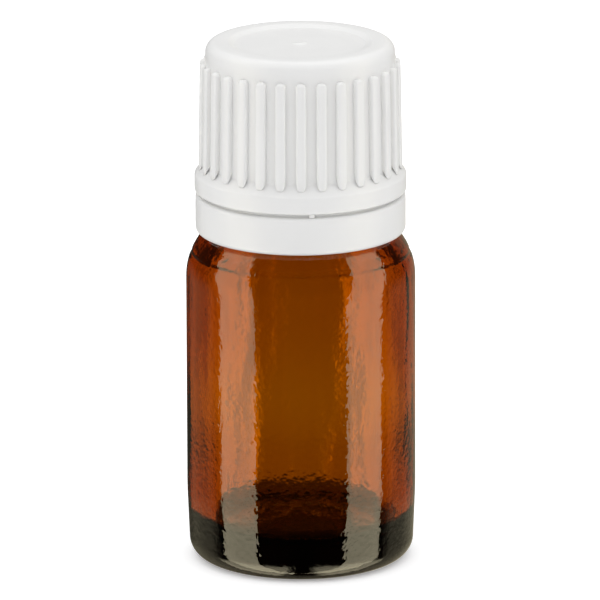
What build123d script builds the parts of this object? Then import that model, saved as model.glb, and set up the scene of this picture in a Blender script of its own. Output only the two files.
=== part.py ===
"""Small amber glass vial with a dropper insert and a white tamper-evident screw cap.

Frame: millimetres, +Z up, origin at the centre of the base, where the vial stands.
Every piece is modelled closed and tightened, as the vial leaves the filling line.
"""

import math
import os

from build123d import *

# ---- Glass vial: outside ----
BODY_DIAMETER = 22.5
BASE_DIAMETER = 21.9  # the wall draws in a little towards the heel
BASE_TAPER_HEIGHT = 7.0
BASE_TAPER_RADIUS = 40.0
BODY_TOP = 28.4  # where the straight wall turns into the shoulder
SHOULDER_RADIUS = 6.4
HEEL_RADIUS = 1.9
PUSH_UP_DEPTH = 0.7  # hollow under the base
PUSH_UP_SLOPE = 0.9
PUSH_UP_FILLET = 0.4
FOOT_WIDTH = 1.4  # flat ring that the vial stands on
NECK_DIAMETER = 14.7  # root of the thread
NECK_ABOVE_BEAD = 13.15  # from the lock bead to the lip
LIP_RADIUS = 0.6
LOCK_BEAD_REACH = 1.55  # bead on the neck that keeps the tamper ring down
LOCK_BEAD_HEIGHT = 1.6
LOCK_BEAD_CREST = 0.7
LOCK_BEAD_FILLET = 0.25

# ---- Glass vial: inside ----
WALL = 2.0
FLOOR = 3.9  # height of the inner floor above the base
INNER_HEEL_RADIUS = 1.6
INNER_SHOULDER_START = 1.25  # above the body's top
INNER_SHOULDER_RISE = 4.2
INNER_SHOULDER_RADIUS = 4.0
BORE_DIAMETER = 11.4
BORE_FILLET = 2.0
MOUTH_CHAMFER = 0.3

# ---- Screw thread, shared by the neck and the cap ----
PITCH = 3.0
THREAD_DEPTH = 0.8
THREAD_CLEARANCE = 0.2  # between each crest and the root that it faces
THREAD_SINK = 0.3  # how far a thread is rooted in its wall
GLASS_THREAD_WIDTH = 1.5
GLASS_THREAD_CREST = 0.7
GLASS_THREAD_TURNS = 2.0
GLASS_THREAD_BELOW_LIP = 2.6
CAP_THREAD_WIDTH = 1.1
CAP_THREAD_CREST = 0.5
CAP_THREAD_TURNS = 1.4
JOIN_TOLERANCE = 0.001  # for joining a helical thread to its wall

# ---- Dropper insert ----
INSERT_FLANGE = 0.6
INSERT_FLANGE_SETBACK = 0.15  # the flange is this much narrower than the neck
INSERT_CLEARANCE = 0.1
INSERT_LENGTH = 6.4  # below the lip
INSERT_WALL = 0.9
INSERT_LEAD_RADIUS = 0.3
INSERT_FLANGE_RADIUS = 0.2
INSERT_WELL_DEPTH = 4.2  # from the flange's top to the web
INSERT_WEB = 1.0
SEAL_BEAD_BITE = 0.05  # how far the sealing beads press into the glass bore
SEAL_BEAD_COUNT = 3
SEAL_BEAD_WIDTH = 0.7
SEAL_BEAD_SPACING = 1.5
SEAL_BEAD_START = 1.6  # from the lip to the first bead's middle
NOZZLE_FOOT_DIAMETER = 3.2
NOZZLE_TIP_DIAMETER = 2.3
NOZZLE_BORE = 1.0
NOZZLE_TIP_RADIUS = 0.2
NOZZLE_SHY = 0.15  # the tip stays this much below the flange's top
NOZZLE_BELOW_WEB = 2.0
VENT_OFFSET = 2.9
VENT_DIAMETER = 2.0
VENT_BORE = 0.8
VENT_ABOVE_WEB = 0.7
VENT_BELOW_WEB = 4.8

# ---- Screw cap ----
LINER_THICKNESS = 0.6
LINER_GAP = 0.25  # round the liner's edge
CAP_PANEL = 1.1
CAP_WALL = 0.9
CAP_DRAFT = 0.2  # the wall is this much wider at its foot than at its top
CAP_TOP_RADIUS = 1.0
CAP_CORNER_RADIUS = 0.2
CAP_LEAD_IN = 0.3
RIM_STEP_DIAMETER = 14.1
RIM_STEP_WIDTH = 0.65
RIM_STEP_DEPTH = 0.25
RIM_STEP_RADIUS = 0.15
GATE_MARK_DIAMETER = 1.0
GATE_MARK_DEPTH = 0.1
LINER_BEAD_REACH = 0.35  # bead in the cap that keeps the liner up
LINER_BEAD_HEIGHT = 0.55
LINER_BEAD_GAP = 0.05
FLANGE_REACH = 0.93  # beyond the wall's foot
FLANGE_BAND = 1.65
FLANGE_SLOPE = 1.05
FLANGE_FILLET = 0.4
FLANGE_EDGE_RADIUS = 0.15
RIB_COUNT = 30
RIB_WIDTH = 1.0
RIB_HEIGHT = 0.55
RIB_FLANK_RADIUS = 0.22
RIB_TOP_RADIUS = 0.45
RIB_BELOW_CROWN = 1.85
RIB_PHASE = 0.9  # degrees from -Y towards +X

# ---- Tamper ring and its bridges ----
SLIT = 0.4  # between the cap's flange and the ring
RING_SETBACK = 0.08  # the ring is this much smaller than the cap's flange
RING_BEAD_CLEARANCE = 0.7  # between the ring's wall and the lock bead
RING_ABOVE_BEAD = 0.2
RING_BOTTOM_RADIUS = 0.6
RING_TOP_RADIUS = 0.35
RING_HOLD_REACH = 0.35  # how far the ring's inner bead reaches under the lock bead
RING_HOLD_HEIGHT = 0.8
RING_HOLD_SLOPE = 0.4
RING_HOLD_GAP = 0.2
HOLD_SHOULDER_GAP = 0.33
RING_SHOULDER_GAP = 0.25
BRIDGE_COUNT = 4
BRIDGE_WIDTH = 0.6
BRIDGE_DEPTH = 0.5
BRIDGE_INSET = 0.1
BRIDGE_PHASE = 6.9  # degrees from -Y towards +X
TEAR_GAP = 0.02  # the bridges are scored through where they meet the ring

# ---- Radii and heights that follow ----
BODY_R = BODY_DIAMETER / 2
BASE_R = BASE_DIAMETER / 2
INNER_R = BODY_R - WALL
NECK_R = NECK_DIAMETER / 2
BORE_R = BORE_DIAMETER / 2
SHOULDER_CENTRE_R = BODY_R - SHOULDER_RADIUS
SHOULDER_CROWN = BODY_TOP + SHOULDER_RADIUS


def shoulder_height(radius):
    """Height of the shoulder's arc at a radius; it is level inside the arc's centre."""
    offset = min(max(radius - SHOULDER_CENTRE_R, 0.0), SHOULDER_RADIUS)
    return BODY_TOP + math.sqrt(SHOULDER_RADIUS**2 - offset**2)


LOCK_BEAD_R = NECK_R + LOCK_BEAD_REACH
RING_INNER_R = LOCK_BEAD_R + RING_BEAD_CLEARANCE
RING_HOLD_R = LOCK_BEAD_R - RING_HOLD_REACH
RING_HOLD_BOTTOM = shoulder_height(RING_HOLD_R) + HOLD_SHOULDER_GAP
RING_HOLD_TOP = RING_HOLD_BOTTOM + RING_HOLD_HEIGHT
LOCK_BEAD_BOTTOM = RING_HOLD_TOP + RING_HOLD_GAP
LOCK_BEAD_TOP = LOCK_BEAD_BOTTOM + LOCK_BEAD_HEIGHT
RING_BOTTOM = shoulder_height(RING_INNER_R - RING_SHOULDER_GAP)
RING_TOP = LOCK_BEAD_TOP + RING_ABOVE_BEAD
CAP_FOOT = RING_TOP + SLIT
LIP_Z = LOCK_BEAD_TOP + NECK_ABOVE_BEAD
INSERT_TOP = LIP_Z + INSERT_FLANGE
WEB_TOP = INSERT_TOP - INSERT_WELL_DEPTH
WEB_BOTTOM = WEB_TOP - INSERT_WEB
INSERT_R = BORE_R - INSERT_CLEARANCE
CAP_CEILING = INSERT_TOP + LINER_THICKNESS
CAP_TOP = CAP_CEILING + CAP_PANEL
CAP_BORE_R = NECK_R + THREAD_DEPTH + THREAD_CLEARANCE
CAP_WALL_R = CAP_BORE_R + CAP_WALL
CAP_FOOT_R = CAP_WALL_R + CAP_DRAFT
FLANGE_R = CAP_FOOT_R + FLANGE_REACH
FLANGE_TOP = CAP_FOOT + FLANGE_BAND
RING_R = FLANGE_R - RING_SETBACK
GLASS_THREAD_RISE = PITCH * GLASS_THREAD_TURNS
GLASS_THREAD_START = LIP_Z - GLASS_THREAD_BELOW_LIP - GLASS_THREAD_RISE
CAP_THREAD_START = GLASS_THREAD_START - PITCH / 2  # midway between the glass turns


def turned(*corners):
    """A solid turned round Z from (radius, height, fillet) corners in order."""
    points = [(radius, height) for radius, height, _ in corners]
    fillets = [fillet for _, _, fillet in corners]
    outline = make_face(FilletPolyline(points, radius=fillets, close=True))
    return revolve(Plane.XZ * outline, Axis.Z)


def thread(root_radius, crest_radius, width, crest, turns, start):
    """A right-hand trapezoidal thread, rooted a little way into the wall it stands on."""
    outward = 1 if crest_radius > root_radius else -1
    sunk_radius = root_radius - outward * THREAD_SINK
    depth = abs(crest_radius - sunk_radius)
    helix = Helix(PITCH, PITCH * turns, sunk_radius, center=(0, 0, start))
    outline = Polyline(
        (0, -width / 2),
        (THREAD_SINK, -width / 2),
        (depth, -crest / 2),
        (depth, crest / 2),
        (THREAD_SINK, width / 2),
        (0, width / 2),
        close=True,
    )
    section = Plane(origin=helix @ 0, x_dir=(outward, 0, 0), z_dir=helix % 0) * make_face(outline)
    return sweep(section, path=helix, is_frenet=True)


def round_z(solid, count, phase):
    """Copies of a solid that lies on -Y, spaced evenly round Z."""
    step = 360 / count
    return [Rot(0, 0, phase + step * index) * solid for index in range(count)]


def bottle():
    """Thick-based glass body with a rounded shoulder, a lock bead and a threaded neck."""
    foot_inner_r = BASE_R - HEEL_RADIUS - FOOT_WIDTH
    body = turned(
        (0, PUSH_UP_DEPTH, 0),
        (foot_inner_r - PUSH_UP_SLOPE, PUSH_UP_DEPTH, PUSH_UP_FILLET),
        (foot_inner_r, 0, PUSH_UP_FILLET),
        (BASE_R, 0, HEEL_RADIUS),
        (BODY_R, BASE_TAPER_HEIGHT, BASE_TAPER_RADIUS),
        (BODY_R, SHOULDER_CROWN, SHOULDER_RADIUS),
        (0, SHOULDER_CROWN, 0),
    )
    neck = turned(
        (0, BODY_TOP, 0),
        (NECK_R, BODY_TOP, 0),
        (NECK_R, LIP_Z, LIP_RADIUS),
        (0, LIP_Z, 0),
    )
    lock_bead = turned(
        (BORE_R, LOCK_BEAD_BOTTOM, 0),
        (LOCK_BEAD_R, LOCK_BEAD_BOTTOM, LOCK_BEAD_FILLET),
        (LOCK_BEAD_R, LOCK_BEAD_BOTTOM + LOCK_BEAD_CREST, LOCK_BEAD_FILLET),
        (NECK_R, LOCK_BEAD_TOP, 0),
        (BORE_R, LOCK_BEAD_TOP, 0),
    )
    neck_thread = thread(
        NECK_R,
        NECK_R + THREAD_DEPTH,
        GLASS_THREAD_WIDTH,
        GLASS_THREAD_CREST,
        GLASS_THREAD_TURNS,
        GLASS_THREAD_START,
    )
    cavity = turned(
        (0, FLOOR, 0),
        (INNER_R, FLOOR, INNER_HEEL_RADIUS),
        (INNER_R, BODY_TOP + INNER_SHOULDER_START, INNER_SHOULDER_RADIUS),
        (BORE_R, BODY_TOP + INNER_SHOULDER_START + INNER_SHOULDER_RISE, BORE_FILLET),
        (BORE_R, LIP_Z - MOUTH_CHAMFER, 0),
        (BORE_R + MOUTH_CHAMFER, LIP_Z, 0),
        (0, LIP_Z, 0),
    )
    outside = (body + neck + lock_bead).fuse(neck_thread, tol=JOIN_TOLERANCE)
    return outside - cavity


def dropper_insert():
    """Soft plug for the neck, with a central dripping nozzle and an off-centre air tube."""
    skirt_r = INSERT_R - INSERT_WALL
    flange_r = NECK_R - INSERT_FLANGE_SETBACK
    plug = turned(
        (0, WEB_BOTTOM, 0),
        (skirt_r, WEB_BOTTOM, 0),
        (skirt_r, LIP_Z - INSERT_LENGTH, 0),
        (INSERT_R, LIP_Z - INSERT_LENGTH, INSERT_LEAD_RADIUS),
        (INSERT_R, LIP_Z, 0),
        (flange_r, LIP_Z, 0),
        (flange_r, INSERT_TOP, INSERT_FLANGE_RADIUS),
        (skirt_r, INSERT_TOP, 0),
        (skirt_r, WEB_TOP, INSERT_FLANGE_RADIUS),
        (0, WEB_TOP, 0),
    )
    for index in range(SEAL_BEAD_COUNT):
        middle = LIP_Z - SEAL_BEAD_START - index * SEAL_BEAD_SPACING
        plug += turned(
            (skirt_r + INSERT_WALL / 2, middle - SEAL_BEAD_WIDTH, 0),
            (INSERT_R, middle - SEAL_BEAD_WIDTH / 2, 0),
            (BORE_R + SEAL_BEAD_BITE, middle - SEAL_BEAD_WIDTH / 6, 0),
            (BORE_R + SEAL_BEAD_BITE, middle + SEAL_BEAD_WIDTH / 6, 0),
            (INSERT_R, middle + SEAL_BEAD_WIDTH / 2, 0),
            (skirt_r + INSERT_WALL / 2, middle + SEAL_BEAD_WIDTH, 0),
        )
    foot_r = NOZZLE_FOOT_DIAMETER / 2
    tip_r = NOZZLE_TIP_DIAMETER / 2
    tip_z = INSERT_TOP - NOZZLE_SHY
    nozzle = turned(
        (0, WEB_BOTTOM - NOZZLE_BELOW_WEB, 0),
        (tip_r, WEB_BOTTOM - NOZZLE_BELOW_WEB, 0),
        (foot_r, WEB_BOTTOM, 0),
        (foot_r, WEB_TOP, 0),
        (tip_r, tip_z, NOZZLE_TIP_RADIUS),
        (0, tip_z, 0),
    )
    vent_bottom = WEB_BOTTOM - VENT_BELOW_WEB
    vent_top = WEB_TOP + VENT_ABOVE_WEB
    vent_length = vent_top - vent_bottom
    vent = Pos(VENT_OFFSET, 0, vent_bottom) * extrude(Circle(VENT_DIAMETER / 2), vent_length)
    vent_bore = Pos(VENT_OFFSET, 0, vent_bottom) * extrude(Circle(VENT_BORE / 2), vent_length)
    nozzle_bore = extrude(
        Pos(0, 0, vent_bottom) * Circle(NOZZLE_BORE / 2), INSERT_TOP - vent_bottom
    )
    return plug + nozzle + vent - vent_bore - nozzle_bore


def cap_liner():
    """Foam disc in the cap's ceiling that seals against the dropper insert."""
    radius = CAP_BORE_R - LINER_GAP
    return extrude(Pos(0, 0, INSERT_TOP) * Circle(radius), LINER_THICKNESS)


def cap_rib():
    """One grip rib on -Y, rounded along its flanks and at its top, and rooted in the wall."""
    root_r = CAP_WALL_R - CAP_WALL / 2
    foot_z = FLANGE_TOP + FLANGE_SLOPE / 4
    top_z = CAP_TOP - RIB_BELOW_CROWN
    foot_r = CAP_FOOT_R + RIB_HEIGHT
    top_r = CAP_WALL_R + RIB_HEIGHT
    side = make_face(
        FilletPolyline(
            [(root_r, foot_z), (foot_r, foot_z), (top_r, top_z), (root_r, top_z)],
            radius=[0, 0, RIB_TOP_RADIUS, 0],
            close=True,
        )
    )
    rib = extrude(Plane.XZ * side, RIB_WIDTH / 2, both=True)
    front_edges = rib.edges().filter_by(lambda edge: edge.center().X > (root_r + top_r) / 2)
    upright = front_edges.filter_by(lambda edge: edge.length > (top_z - foot_z) / 2)
    return Rot(0, 0, -90) * fillet(upright, RIB_FLANK_RADIUS)


def screw_cap():
    """Ribbed cap with a flared foot flange, an inside thread and a bead that keeps the liner."""
    rim_r = RIM_STEP_DIAMETER / 2
    mark_r = GATE_MARK_DIAMETER / 2
    dish_z = CAP_TOP - RIM_STEP_DEPTH
    bead_top = INSERT_TOP - LINER_BEAD_GAP
    shell = turned(
        (0, CAP_CEILING, 0),
        (CAP_BORE_R, CAP_CEILING, CAP_CORNER_RADIUS),
        (CAP_BORE_R, bead_top, 0),
        (CAP_BORE_R - LINER_BEAD_REACH, bead_top - LINER_BEAD_HEIGHT / 5, 0),
        (CAP_BORE_R, bead_top - LINER_BEAD_HEIGHT, 0),
        (CAP_BORE_R, CAP_FOOT + CAP_LEAD_IN, 0),
        (CAP_BORE_R + CAP_LEAD_IN, CAP_FOOT, 0),
        (FLANGE_R, CAP_FOOT, FLANGE_EDGE_RADIUS),
        (FLANGE_R, FLANGE_TOP, FLANGE_FILLET),
        (CAP_FOOT_R, FLANGE_TOP + FLANGE_SLOPE, FLANGE_FILLET),
        (CAP_WALL_R, CAP_TOP, CAP_TOP_RADIUS),
        (rim_r, CAP_TOP, RIM_STEP_RADIUS),
        (rim_r - RIM_STEP_WIDTH, dish_z, RIM_STEP_RADIUS),
        (mark_r, dish_z, 0),
        (mark_r, dish_z - GATE_MARK_DEPTH, 0),
        (0, dish_z - GATE_MARK_DEPTH, 0),
    )
    cap_thread = thread(
        CAP_BORE_R,
        CAP_BORE_R - THREAD_DEPTH,
        CAP_THREAD_WIDTH,
        CAP_THREAD_CREST,
        CAP_THREAD_TURNS,
        CAP_THREAD_START,
    )
    ribbed = shell + round_z(cap_rib(), RIB_COUNT, RIB_PHASE)
    return ribbed.fuse(cap_thread, tol=JOIN_TOLERANCE)


def tamper_ring():
    """Ring left on the neck after opening; its inner bead sits under the glass lock bead."""
    return turned(
        (RING_INNER_R, RING_BOTTOM, 0),
        (RING_R, RING_BOTTOM, RING_BOTTOM_RADIUS),
        (RING_R, RING_TOP, RING_TOP_RADIUS),
        (RING_INNER_R, RING_TOP, 0),
        (RING_INNER_R, RING_HOLD_TOP, 0),
        (RING_HOLD_R, RING_HOLD_TOP, 0),
        (RING_HOLD_R, RING_HOLD_BOTTOM, 0),
        (RING_INNER_R, RING_HOLD_BOTTOM - RING_HOLD_SLOPE, 0),
    )


def tamper_bridges():
    """The thin bridges that tear when the cap is first unscrewed."""
    outer_r = RING_R - BRIDGE_INSET
    bridge = Pos(0, BRIDGE_DEPTH / 2 - outer_r, RING_TOP + TEAR_GAP) * extrude(
        Rectangle(BRIDGE_WIDTH, BRIDGE_DEPTH), SLIT - TEAR_GAP
    )
    return Compound(children=round_z(bridge, BRIDGE_COUNT, BRIDGE_PHASE))


if __name__ == "__main__":
    os.makedirs("parts", exist_ok=True)
    for piece in (bottle, dropper_insert, cap_liner, screw_cap, tamper_ring, tamper_bridges):
        export_step(piece(), f"parts/{piece.__name__}.step")
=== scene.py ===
"""Small amber glass dropper vial with a ribbed white tamper-evident cap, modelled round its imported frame.

Laid out as an add-on: sizes and colours are properties, and each piece has its own operator.
Lengths are in metres, +Z is up and the vial stands on Z = 0 with its front towards -Y.
"""

import math

import bmesh
import bpy
from bpy.props import FloatProperty, FloatVectorProperty, IntProperty, PointerProperty
from mathutils import Matrix, Vector, noise


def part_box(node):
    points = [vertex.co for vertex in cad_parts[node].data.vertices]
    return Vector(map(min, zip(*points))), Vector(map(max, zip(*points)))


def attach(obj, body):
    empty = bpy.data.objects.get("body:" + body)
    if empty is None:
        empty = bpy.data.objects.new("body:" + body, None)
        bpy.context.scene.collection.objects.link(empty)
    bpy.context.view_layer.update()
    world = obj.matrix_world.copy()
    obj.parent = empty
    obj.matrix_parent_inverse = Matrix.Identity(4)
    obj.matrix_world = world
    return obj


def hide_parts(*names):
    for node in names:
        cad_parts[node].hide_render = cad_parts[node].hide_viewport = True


bl_info = {
    "name": "Dropper vial",
    "version": (1, 0, 0),
    "blender": (4, 5, 0),
    "location": "3D View > Sidebar > Vial",
    "description": "Builds an amber glass dropper vial with a tamper-evident screw cap",
    "category": "Add Mesh",
}

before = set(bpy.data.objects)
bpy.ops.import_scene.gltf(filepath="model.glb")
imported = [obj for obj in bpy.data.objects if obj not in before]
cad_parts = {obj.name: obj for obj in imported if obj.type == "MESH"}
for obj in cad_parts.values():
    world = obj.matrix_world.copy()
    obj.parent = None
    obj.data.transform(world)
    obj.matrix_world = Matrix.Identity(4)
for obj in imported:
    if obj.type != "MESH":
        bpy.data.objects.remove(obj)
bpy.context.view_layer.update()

MM = 0.001
UP = Vector((0, 0, 1))
WHITE = (1.0, 1.0, 1.0, 1.0)
SAME_PLACE = 1e-7  # points closer than this are one point
GLASS_LOW, GLASS_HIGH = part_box("bottle")
INSERT_LOW, INSERT_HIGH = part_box("dropper_insert")
LINER_LOW, LINER_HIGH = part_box("cap_liner")
CAP_LOW, CAP_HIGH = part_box("screw_cap")
RING_LOW, RING_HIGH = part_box("tamper_ring")
BRIDGE_LOW, BRIDGE_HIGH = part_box("tamper_bridges")


def length(name, description, default):
    """A property that holds one length."""
    return FloatProperty(name=name, description=description, default=default, unit="LENGTH", precision=5)


def colour(name, description, default):
    """A property that holds one linear colour."""
    return FloatVectorProperty(
        name=name, description=description, default=default, size=3, min=0.0, max=1.0, subtype="COLOR"
    )


# ---------------------------------------------------------------- sizes and colours


class VialGlassSizes(bpy.types.PropertyGroup):
    """Sizes of the glass."""

    radius: length("Body radius", "Outside of the straight wall", GLASS_HIGH.x)
    height: length("Height", "From the table to the lip", GLASS_HIGH.z)
    base_radius: length("Base radius", "Where the drawn-in wall meets the heel", 10.95 * MM)
    base_taper: length("Base taper", "Height over which the wall draws in to the base", 7.0 * MM)
    heel: length("Heel radius", "Rounding between the wall and the foot", 1.9 * MM)
    push_up: length("Push-up", "Depth of the hollow under the base", 0.7 * MM)
    push_up_radius: length("Push-up radius", "Rim of the hollow under the base", 7.65 * MM)
    body_top: length("Body top", "Where the straight wall ends", 28.4 * MM)
    shoulder: length("Shoulder radius", "Arc from the wall to the neck", 6.4 * MM)
    crease_height: length("Crease height", "Mould joint round the shoulder", 30.75 * MM)
    crease_depth: length("Crease depth", "How deep the mould joint cuts in", 0.07 * MM)
    crease_width: length("Crease width", "Half width of the mould joint", 0.25 * MM)
    neck_radius: length("Neck radius", "Root of the thread", 7.35 * MM)
    thread_depth: length("Thread depth", "From the root to the crest", 0.8 * MM)
    pitch: length("Thread pitch", "Rise of the thread in one turn", 3.0 * MM)
    bead_radius: length("Lock bead radius", "Bead that keeps the tamper ring down", 8.9 * MM)
    bead_bottom: length("Lock bead bottom", "Underside of the lock bead", 34.95 * MM)
    bead_height: length("Lock bead height", "Height of the lock bead", 1.6 * MM)
    bore_radius: length("Bore radius", "Inside of the neck", 5.7 * MM)
    wall: length("Wall", "Thickness of the straight wall", 2.0 * MM)
    floor: length("Floor", "Height of the inner floor", 3.2 * MM)
    floor_corner: length("Floor corner", "Rounding between the inner floor and wall", 1.9 * MM)
    inner_ripple: length("Inner ripple", "How far the blown inside wanders", 0.08 * MM)
    thin_band: length("Thin band", "How much thinner the wall is at the middle of the body", 0.3 * MM)
    thread_turns: FloatProperty(name="Thread turns", description="Length of the thread", default=2.0)


class VialCapSizes(bpy.types.PropertyGroup):
    """Sizes of the cap, its liner, the ring and the bridges."""

    top: length("Top", "Height of the cap's crown", CAP_HIGH.z)
    foot: length("Foot", "Underside of the foot flange", CAP_LOW.z)
    flange_radius: length("Flange radius", "Outside of the foot flange", CAP_HIGH.x)
    flange_band: length("Flange band", "Upright part of the foot flange", 1.65 * MM)
    flange_slope: length("Flange slope", "Rise from the flange to the wall", 1.05 * MM)
    wall_radius: length("Wall radius", "Wall between the ribs, at the crown", 9.25 * MM)
    draft: length("Draft", "How much wider the wall is at its foot", 0.2 * MM)
    bore: length("Bore radius", "Inside of the cap", 8.35 * MM)
    panel: length("Panel", "Thickness of the crown", 1.1 * MM)
    crown_rounding: length("Crown rounding", "Rounding of the crown's edge", 1.0 * MM)
    rim_radius: length("Rim radius", "Outer edge of the step in the crown", 7.05 * MM)
    rim_width: length("Rim width", "Width of the step in the crown", 0.65 * MM)
    rim_depth: length("Rim depth", "Depth of the step in the crown", 0.25 * MM)
    rib_height: length("Rib height", "How far the ribs stand out", 0.55 * MM)
    rib_below_crown: length("Rib below crown", "From the crown to the ribs' tops", 2.0 * MM)
    rib_count: IntProperty(name="Ribs", description="Number of grip ribs", default=30)
    rib_phase: FloatProperty(
        name="Rib phase", description="Turn of the ribs", default=math.radians(0.4), subtype="ANGLE"
    )
    bridge_width: length("Bridge width", "Width of each tear bridge", 0.6 * MM)
    bridge_depth: length("Bridge depth", "Radial depth of each tear bridge", 0.4 * MM)
    bridge_count: IntProperty(name="Bridges", description="Number of tear bridges", default=4)
    bridge_phase: FloatProperty(
        name="Bridge phase", description="Turn of the bridges", default=math.radians(6.3), subtype="ANGLE"
    )


class VialFinish(bpy.types.PropertyGroup):
    """Colours of the materials."""

    amber: colour("Amber", "Colour that a wall of glass lets through", (0.913, 0.78, 0.0))
    amber_density: FloatProperty(name="Amber density", description="Strength of the amber", default=3000.0)
    cap_white: colour("Cap white", "Cap and ring plastic", (0.83, 0.83, 0.825))
    insert_white: colour("Insert white", "Milky insert plastic", (0.78, 0.79, 0.78))
    liner_white: colour("Liner white", "Foam liner", (0.84, 0.84, 0.82))
    floor_white: colour("Floor white", "Floor under the vial", (0.95, 0.95, 0.95))


# ---------------------------------------------------------------- mesh helpers


def line_to(bm, vert, place, longest):
    """Runs a straight chain from a vertex to a place, in steps no longer than asked."""
    start = vert.co.copy()
    steps = max(1, math.ceil((place - start).length / longest))
    for step in range(1, steps + 1):
        vert = bmesh.ops.extrude_vert_indiv(bm, verts=[vert])["verts"][0]
        vert.co = start.lerp(place, step / steps)
    return vert


def draw_outline(bm, corners, longest, closed=False, arc_steps=8):
    """A chain in the XZ plane through (radius, height, fillet) corners, each fillet a true arc."""
    points = [Vector((radius, 0, height)) for radius, height, _ in corners]
    count = len(points)
    first = vert = None
    for index, (_, _, fillet) in enumerate(corners):
        here = points[index]
        back = (points[index - 1] - here).normalized()
        ahead = (points[(index + 1) % count] - here).normalized()
        turn = math.pi - back.angle(ahead) if fillet else 0.0
        start = here + back * fillet * math.tan(turn / 2)
        if vert is None:
            first = vert = bm.verts.new(start)
        elif (vert.co - start).length > SAME_PLACE:
            vert = line_to(bm, vert, start, longest)
        if fillet:
            centre = here + (back + ahead).normalized() * fillet / math.cos(turn / 2)
            steps = max(2, math.ceil(arc_steps * turn / (math.pi / 2)), math.ceil(fillet * turn / longest))
            arc = bm.verts.new(vert.co)
            spun = bmesh.ops.spin(
                bm, geom=[arc], cent=centre, axis=back.cross(ahead), angle=-turn, steps=steps
            )
            vert = spun["geom_last"][0]
    if closed:
        line_to(bm, vert, first.co.copy(), longest)
    bmesh.ops.remove_doubles(bm, verts=bm.verts, dist=SAME_PLACE)


def turn_round(bm, steps):
    """Turns a chain round Z into a closed skin with its faces outwards."""
    chain = bm.edges[:] + bm.verts[:]
    bmesh.ops.spin(
        bm, geom=chain, cent=(0, 0, 0), axis=UP, angle=math.tau, steps=steps, use_merge=True
    )
    bmesh.ops.remove_doubles(bm, verts=bm.verts, dist=SAME_PLACE)
    bmesh.ops.recalc_face_normals(bm, faces=bm.faces)


def refine(bm, low, high, least_radius, cuts):
    """Splits a chain's edges more finely between two heights, outside a radius."""
    edges = [
        edge
        for edge in bm.edges
        if all(low < vert.co.z < high and vert.co.x > least_radius for vert in edge.verts)
    ]
    bmesh.ops.subdivide_edges(bm, edges=edges, cuts=cuts)


def turned(corners, longest, steps, closed=False, arc_steps=8, finer=()):
    """A mesh under construction, turned round Z from its outline's corners."""
    bm = bmesh.new()
    draw_outline(bm, corners, longest, closed, arc_steps)
    for low, high, least_radius, cuts in finer:
        refine(bm, low, high, least_radius, cuts)
    turn_round(bm, steps)
    return bm


def helix_ridge(section, pitch, start, turns, steps_per_turn=96):
    """A helical ridge under construction: a closed section in the XZ plane, spun and raised."""
    ridge = bmesh.new()
    face = ridge.faces.new([ridge.verts.new((radius, 0, start + rise)) for radius, rise in section])
    steps = round(steps_per_turn * turns)
    bmesh.ops.spin(
        ridge,
        geom=[face] + face.edges[:] + face.verts[:],
        cent=(0, 0, 0),
        dvec=(0, 0, pitch * turns / steps),
        axis=UP,
        angle=math.tau * turns,
        steps=steps,
    )
    bmesh.ops.recalc_face_normals(ridge, faces=ridge.faces)
    return ridge


def bevel(bm, edges, radius, segments):
    """Rounds edges off to a radius."""
    bmesh.ops.bevel(
        bm,
        geom=edges,
        offset=radius,
        segments=segments,
        profile=0.5,
        affect="EDGES",
        material=-1,
        clamp_overlap=True,
    )


def set_angle_sharp(bm, degrees):
    """Marks the edges that turn more sharply than an angle, and smooths the rest."""
    for face in bm.faces:
        face.smooth = True
    for edge in bm.edges:
        edge.smooth = len(edge.link_faces) != 2 or edge.calc_face_angle() < math.radians(degrees)


def join_into(bm, other):
    """Adds one mesh under construction to another."""
    scratch = bpy.data.meshes.new("scratch")
    other.to_mesh(scratch)
    other.free()
    bm.from_mesh(scratch)
    bpy.data.meshes.remove(scratch)


def place_mesh(name, bm, material):
    """An object at the origin that holds a finished mesh in one material."""
    mesh = bpy.data.meshes.new(name)
    bm.to_mesh(mesh)
    bm.free()
    mesh.materials.append(material)
    piece = bpy.data.objects.new(name, mesh)
    bpy.context.scene.collection.objects.link(piece)
    return piece


def make_piece(name, bm, material, body, node):
    """Turns a closed mesh into a piece that rides on a body in place of its CAD node."""
    if any(len(edge.link_faces) != 2 for edge in bm.edges):
        raise RuntimeError(f"the skin of {name} isn't closed")
    piece = place_mesh(name, bm, material)
    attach(piece, body)
    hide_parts(node)
    return piece


def even_shading(piece):
    """Lets the big faces set the shading, so that the small roundings don't bend it."""
    weighted = piece.modifiers.new("even shading", "WEIGHTED_NORMAL")
    weighted.keep_sharp = True


# ---------------------------------------------------------------- shader helpers


def place_node(tree, kind, label, links=(), **values):
    """Adds a node, sets its inputs by name or number and links the inputs given as sockets."""
    node = tree.nodes.new(kind)
    node.label = label
    for key, value in values.items():
        setattr(node, key, value)
    for key, value in links:
        if isinstance(value, bpy.types.NodeSocket):
            tree.links.new(value, node.inputs[key])
        else:
            node.inputs[key].default_value = value
    return node


def calculate(tree, operation, first, second=0.0, third=0.0):
    """A Math node's result."""
    inputs = [(0, first), (1, second), (2, third)]
    return place_node(tree, "ShaderNodeMath", operation.lower(), inputs, operation=operation).outputs[0]


def multiply(tree, *factors):
    """The product of two or more values."""
    product = factors[0]
    for factor in factors[1:]:
        product = calculate(tree, "MULTIPLY", product, factor)
    return product


def remap(tree, value, low, high, to_low, to_high):
    """A value moved smoothly from one range to another."""
    inputs = zip(("Value", "From Min", "From Max", "To Min", "To Max"), (value, low, high, to_low, to_high))
    node = place_node(tree, "ShaderNodeMapRange", "range", inputs, interpolation_type="SMOOTHSTEP")
    return node.outputs["Result"]


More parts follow.
